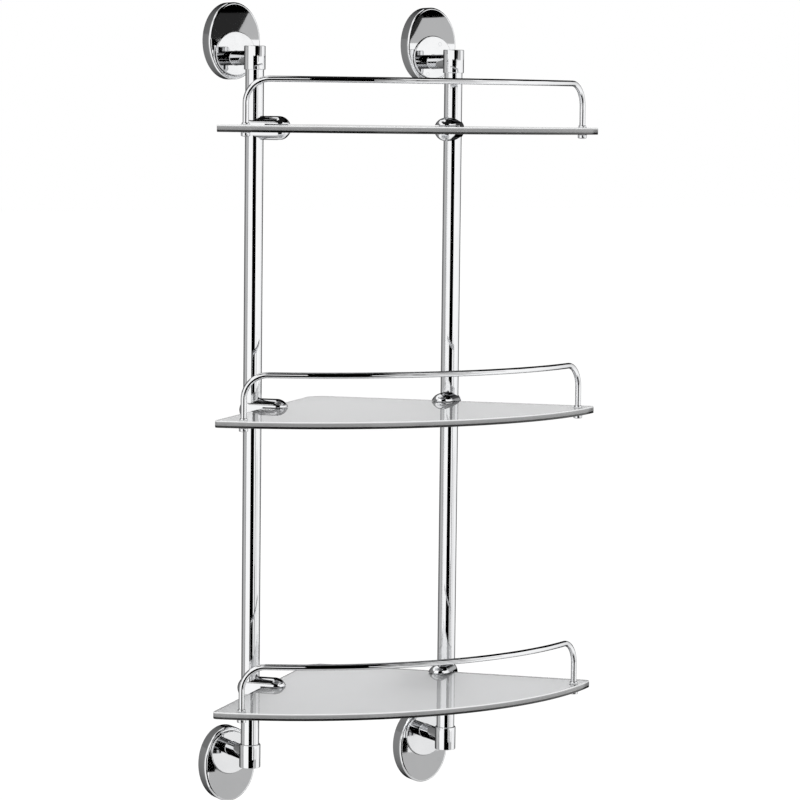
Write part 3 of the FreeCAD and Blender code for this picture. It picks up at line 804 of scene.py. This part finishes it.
# the cover's round edge takes roundReach times its radius, at most mostReach of the way to the opening
cover = {
    "width": 24.75, "height": 33.5, "rise": 15.0, "depth": 15.0, "crown": 250.0, "round": 2.0, "wall": 1.5,
    "opening": 19.3, "roundReach": 1.25, "mostReach": 0.85, "plainShare": 0.5, "sharp": 40,
    "roundRows": 14, "faceRows": 11, "around": 168,
}


def bracketPlace(side, up):
    # wall point behind the stem, and the direction away from the shelves
    return Vector((sides[side] * uprights["x"], 0.0, up * arm["stemZ"])), Vector((0, 0, up))


def bracketNames(side, up):
    # ends of the names of a bracket's pieces and of its solids
    end = "Top" if up > 0 else "Bottom"
    return end + side, f"{end.lower()}_{side.lower()}"


def makeArm(side, up):
    bm = newShape()
    origin, rise = bracketPlace(side, up)
    out = Vector((0, -1, 0))
    foot, back, front = arm["foot"], arm["footBack"], arm["footFront"]
    profile = [(0.0, back), (foot, back)]
    profile += rounded(foot, front, arm["footRound"], arm["footSteps"]) + [(0.0, front)]
    lathe(bm, profile, origin + rise * arm["footRise"], out, arm["footAround"])
    size, flare = arm["stem"], arm["flare"]
    start, end = front - arm["sunk"], -uprights["y"] - arm["sunk"]
    stem = [(0.0, start), (size + flare, start)]
    for k in range(arm["flareSteps"] + 1):
        turn = math.pi / 2 * k / arm["flareSteps"]
        stem.append((size + flare * (1 - math.sin(turn)), front + flare * (1 - math.cos(turn))))
    stem += [(size, end), (0.0, end)]
    lathe(bm, stem, origin, out, arm["stemAround"])
    low, high, size, bore = -arm["sleeveHalf"], arm["sleeveHalf"], arm["sleeve"], arm["bore"]
    sleeve = [(0.0, high - arm["cap"]), (bore, high - arm["cap"]), (bore, low)]
    sleeve += list(reversed(rounded(size, low, -arm["sleeveRound"])))
    sleeve += rounded(size, high, arm["sleeveRound"]) + [(0.0, high)]
    lathe(bm, sleeve, origin - out * uprights["y"], rise, arm["sleeveAround"])
    name, key = bracketNames(side, up)
    finish = [looks["platedCasting"]]
    addPiece("bracket" + name, bm, f"bracket_{key}", finish, [f"bracket_arm_{key}"])


def coverDepth(across, height, inset):
    # how far the cover stands off the wall at a point of its oval
    wide, tall = cover["width"] - inset, cover["height"] - inset
    bow = cover["crown"]
    crown = cover["depth"] - inset - (bow - math.sqrt(bow * bow - across * across - height * height))
    share = math.sqrt((across / wide) ** 2 + (height / tall) ** 2)
    if share < cover["plainShare"]:
        return crown
    steep = math.sqrt((across / wide ** 2) ** 2 + (height / tall ** 2) ** 2) / share
    gap = max((1 - share) / steep, 0.0)
    size = cover["round"] - inset
    if gap >= size:
        return crown
    return crown - size + math.sqrt(size * size - (size - gap) ** 2)


def coverRows(inset):
    # rows of (across, height, depth) from the rim, over the round edge, to the opening
    wide, tall = cover["width"] - inset, cover["height"] - inset
    drop = arm["footRise"] - cover["rise"]
    bends, steps = cover["roundRows"], cover["around"]
    rows = []
    for k in range(bends + cover["faceRows"] + 1):
        row = []
        for i in range(steps):
            turn = 2 * math.pi * i / steps
            edge = Vector((wide * math.cos(turn), tall * math.sin(turn)))
            aim = Vector((edge.x, edge.y - drop)).normalized()
            mouth = Vector((0.0, drop)) + aim * cover["opening"]
            way = (mouth - edge).length
            size = min(cover["round"] * cover["roundReach"], cover["mostReach"] * way)
            if k <= bends:
                gone = size * (1 - math.cos(math.pi / 2 * k / bends))
            else:
                gone = size + (way - size) * (k - bends) / cover["faceRows"]
            point = edge.lerp(mouth, gone / way)
            row.append((point.x, point.y, coverDepth(point.x, point.y, inset)))
        rows.append(row)
    return rows


def makeCover(side, up):
    bm = newShape()
    origin, rise = bracketPlace(side, up)
    outer, inner = coverRows(0.0), coverRows(cover["wall"])
    backOuter = [(across, height, 0.0) for across, height, depth in outer[0]]
    backInner = [(across, height, 0.0) for across, height, depth in inner[0]]
    rings = []
    for row in [backOuter] + outer + list(reversed(inner)) + [backInner]:
        points = []
        for across, height, depth in row:
            points.append(origin + Vector((across, -depth, 0)) + rise * (height + cover["rise"]))
        rings.append(ring(bm, points))
    for first, second in zip(rings, rings[1:]):
        bridge(bm, first, second)
    bridge(bm, rings[-1], rings[0])
    name, key = bracketNames(side, up)
    finish = [looks["pressedCover"]]
    addPiece("cover" + name, bm, f"bracket_{key}", finish, [f"rosette_{key}"], cover["sharp"])


for up in (1, -1):
    for side in sides:
        makeArm(side, up)
        makeCover(side, up)
print("brackets built")


# solids that stay as they are
carried = {
    "wall_plate": "zincPlate",
    "bracket_screws": "screwSteel",
    "clip_screws": "screwSteel",
    "clip_pad": "softLiner",
    "rail_washers": "softLiner",
}
carriedSharp = 30
for name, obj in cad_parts.items():
    for start, look in carried.items():
        if name.startswith(start):
            obj.data.materials.clear()
            obj.data.materials.append(looks[look])
            obj.data.set_sharp_from_angle(angle=math.radians(carriedSharp))
print("small fittings dressed")


# camera, in metres, degrees and millimetres of lens
view = {
    "place": (-1.34524, -2.62305, 0.26058), "yaw": 28.462, "pitch": 5.020, "roll": 0.635,
    "lens": 148.55, "sensor": 36.0,
}


def setCamera():
    yaw, pitch, roll = (math.radians(view[key]) for key in ("yaw", "pitch", "roll"))
    ahead = Vector((math.sin(yaw) * math.cos(pitch), math.cos(yaw) * math.cos(pitch), -math.sin(pitch)))
    right = Vector((math.cos(yaw), -math.sin(yaw), 0))
    up = right.cross(ahead)
    level, tilt = math.cos(roll), math.sin(roll)
    right, up = right * level + up * tilt, up * level - right * tilt
    data = bpy.data.cameras.new("shelfCamera")
    data.lens = view["lens"]
    data.sensor_width = view["sensor"]
    camera = bpy.data.objects.new("shelfCamera", data)
    camera.matrix_world = Matrix((right, up, -ahead)).transposed().to_4x4()
    camera.location = view["place"]
    scene.collection.objects.link(camera)
    scene.camera = camera


setCamera()
print("camera set")


# studio: white room, pale floor, soft lamps, and dark or grey cards for the chrome to mirror
studio = {"around": 0.75, "floorZ": -1.2, "floor": (0.9, 0.9, 0.9), "floorSize": 80.0, "floorGlow": 0.34}
lamps = {
    "leftSoftbox": {"place": (-2.4, -1.6, 2.0), "size": 1.6, "power": 30.0},
    "rightSoftbox": {"place": (2.2, -2.2, 1.6), "size": 1.6, "power": 22.0},
}
# spans in degrees round the object, 0 towards the camera and right positive, then low and high elevation;
# away is a card's distance in metres, lean slants its right end, and through lets the glass show it
cards = {
    "cameraCard": {"round": (-14, 29), "height": (-62, 3), "shade": 0.0},
    "lowCard": {"round": (29, 42), "height": (-62, -14), "shade": 0.0},
    "standCard": {"round": (34, 48.8), "height": (15.0, 25.9), "shade": 0.022, "away": 1.38, "lean": 8.4},
    "sideCard": {"round": (37, 41.5), "height": (10.3, 15.0), "shade": 0.0, "away": 1.38},
    "lowSideCard": {"round": (37, 42), "height": (-26.5, -13), "shade": 0.0, "away": 1.45},
    "lowFarCard": {"round": (44.5, 49.5), "height": (-13.5, -4), "shade": 0.0},
    "upperCard": {"round": (6, 42), "height": (3, 50), "shade": 0.0},
    "leftUpperCard": {"round": (-14, 6), "height": (26, 50), "shade": 0.0},
    "ringCard": {"round": (42, 70), "height": (12, 24), "shade": 0.0},
    "railBackCard": {"round": (150, 192), "height": (15, 50), "shade": 0.0},
    "wallCard": {"round": (44, 84), "height": (2.3, 12), "shade": 0.47},
    "leftCard": {"round": (-114, -79), "height": (-40, 8), "shade": 0.48},
    "leftFarCard": {"round": (-168, -114), "height": (-40, 8), "shade": 0.26},
    "leftEdgeCard": {"round": (-79, -71), "height": (-40, 40), "shade": 0.2},
    "leftHighCard": {"round": (-168, -79), "height": (8, 40), "shade": 0.2},
    "backCard": {"round": (168, 192), "height": (-40, 15), "shade": 0.7},
    "rightCard": {"round": (134, 168), "height": (-40, 2), "shade": 0.0},
    "rightHighCard": {"round": (150, 168), "height": (2, 15), "shade": 0.2},
    "roofCard": {"round": (-50, 192), "height": (50, 90), "shade": 0.01, "through": True},
    "clipCard": {"round": (-104, -50), "height": (58, 74), "shade": 0.01},
    "hazeCard": {"round": (49.5, 84), "height": (-13.5, -6), "shade": 0.85},
    "tableCard": {"round": (44, 76), "height": (-42, -13.5), "shade": 0.46},
    "underCard": {"round": (-180, 180), "height": (-90, -56), "shade": 0.6, "away": 1.15, "through": True},
}
# steps down to the right, mirrored as the dark upper outline of the rails
railSteps = {"first": 70, "last": 150, "low": (43, 38, 32, 26, 21), "high": 50}
stepWidth = (railSteps["last"] - railSteps["first"]) / len(railSteps["low"])
for i, low in enumerate(railSteps["low"]):
    start = railSteps["first"] + i * stepWidth
    span, height = (start, start + stepWidth), (low, railSteps["high"])
    cards[f"railCard{i}"] = {"round": span, "height": height, "shade": 0.0}
cardMesh = {"away": 30.0, "rows": 16, "degrees": 3}  # distance, rows, and width of a column


def seenDirectly(tree):
    # 1 for rays from the camera, from a mirroring surface or through the glass
    path = tree.nodes.new("ShaderNodeLightPath")
    seen = combine(tree, "MAXIMUM", path.outputs["Is Camera Ray"], path.outputs["Is Glossy Ray"])
    return combine(tree, "MAXIMUM", seen, path.outputs["Is Transmission Ray"])


def setWorld():
    world = bpy.data.worlds.new("whiteRoom")
    world.use_nodes = True
    tree = world.node_tree
    tree.nodes.clear()
    soft = addNode(tree, "ShaderNodeBackground", Strength=studio["around"])
    white = addNode(tree, "ShaderNodeBackground", Strength=1.0)
    for node in (soft, white):
        node.inputs["Color"].default_value = (1.0, 1.0, 1.0, 1.0)
    mix = tree.nodes.new("ShaderNodeMixShader")
    end = tree.nodes.new("ShaderNodeOutputWorld")
    tree.links.new(seenDirectly(tree), mix.inputs["Fac"])
    tree.links.new(soft.outputs[0], mix.inputs[1])
    tree.links.new(white.outputs[0], mix.inputs[2])
    tree.links.new(mix.outputs[0], end.inputs["Surface"])
    scene.world = world


def setFloor():
    mesh = bpy.data.meshes.new("floor")
    half, low = studio["floorSize"] / 2, studio["floorZ"]
    corners = [(x * half, y * half, low) for x, y in ((-1, -1), (1, -1), (1, 1), (-1, 1))]
    mesh.from_pydata(corners, [], [(0, 1, 2, 3)])
    look, tree, end = emptyLook("paleFloor")
    paint = addNode(tree, "ShaderNodeBsdfDiffuse", Color=(*studio["floor"], 1.0))
    glow = tree.nodes.new("ShaderNodeEmission")
    both = tree.nodes.new("ShaderNodeAddShader")
    lit = combine(tree, "MULTIPLY", seenDirectly(tree), studio["floorGlow"])
    tree.links.new(lit, glow.inputs["Strength"])
    tree.links.new(paint.outputs[0], both.inputs[0])
    tree.links.new(glow.outputs[0], both.inputs[1])
    tree.links.new(both.outputs[0], end.inputs["Surface"])
    mesh.materials.append(look)
    floor = bpy.data.objects.new("floor", mesh)
    floor.visible_glossy = False  # polished metal mirrors the white room and the cards instead
    scene.collection.objects.link(floor)


def setLamps():
    for name, values in lamps.items():
        data = bpy.data.lights.new(name, "AREA")
        data.shape = "SQUARE"
        data.size = values["size"]
        data.energy = values["power"]
        lamp = bpy.data.objects.new(name, data)
        lamp.location = values["place"]
        lamp.rotation_euler = (-Vector(values["place"])).to_track_quat("-Z", "Y").to_euler()
        lamp.visible_glossy = False
        scene.collection.objects.link(lamp)


def cardShape(name, values):
    # a patch of a sphere round the object
    yaw = math.radians(view["yaw"])
    ahead = Vector((-math.sin(yaw), -math.cos(yaw), 0))
    right = Vector((math.cos(yaw), -math.sin(yaw), 0))
    (start, end), (low, high) = values["round"], values["height"]
    away, lean = values.get("away", cardMesh["away"]), values.get("lean", 0.0)
    across, up = max(2, int((end - start) / cardMesh["degrees"])), cardMesh["rows"]
    bm = bmesh.new()
    rows = []
    for i in range(up + 1):
        lift = math.radians(low + (high - low) * i / up)
        edge = end + lean * i / up
        row = []
        for k in range(across + 1):
            turn = math.radians(start + (edge - start) * k / across)
            flat = ahead * math.cos(turn) + right * math.sin(turn)
            row.append((flat * math.cos(lift) + upward * math.sin(lift)) * away)
        rows.append(ring(bm, row))
    for first, second in zip(rows, rows[1:]):
        for k in range(across):
            bm.faces.new((first[k], first[k + 1], second[k + 1], second[k]))
    mesh = bpy.data.meshes.new(name)
    bm.to_mesh(mesh)
    bm.free()
    return mesh


def setCards():
    for name, values in cards.items():
        shade = values["shade"]
        look, tree, end = emptyLook(name)
        glow = addNode(tree, "ShaderNodeEmission", Color=(shade, shade, shade, 1.0), Strength=1.0)
        tree.links.new(glow.outputs[0], end.inputs["Surface"])
        mesh = cardShape(name, values)
        mesh.materials.append(look)
        card = bpy.data.objects.new(name, mesh)
        scene.collection.objects.link(card)
        card.visible_camera = False
        card.visible_diffuse = False
        card.visible_transmission = values.get("through", False)
        card.visible_shadow = False
        card.visible_volume_scatter = False


setWorld()
setFloor()
setLamps()
setCards()
print("studio set")
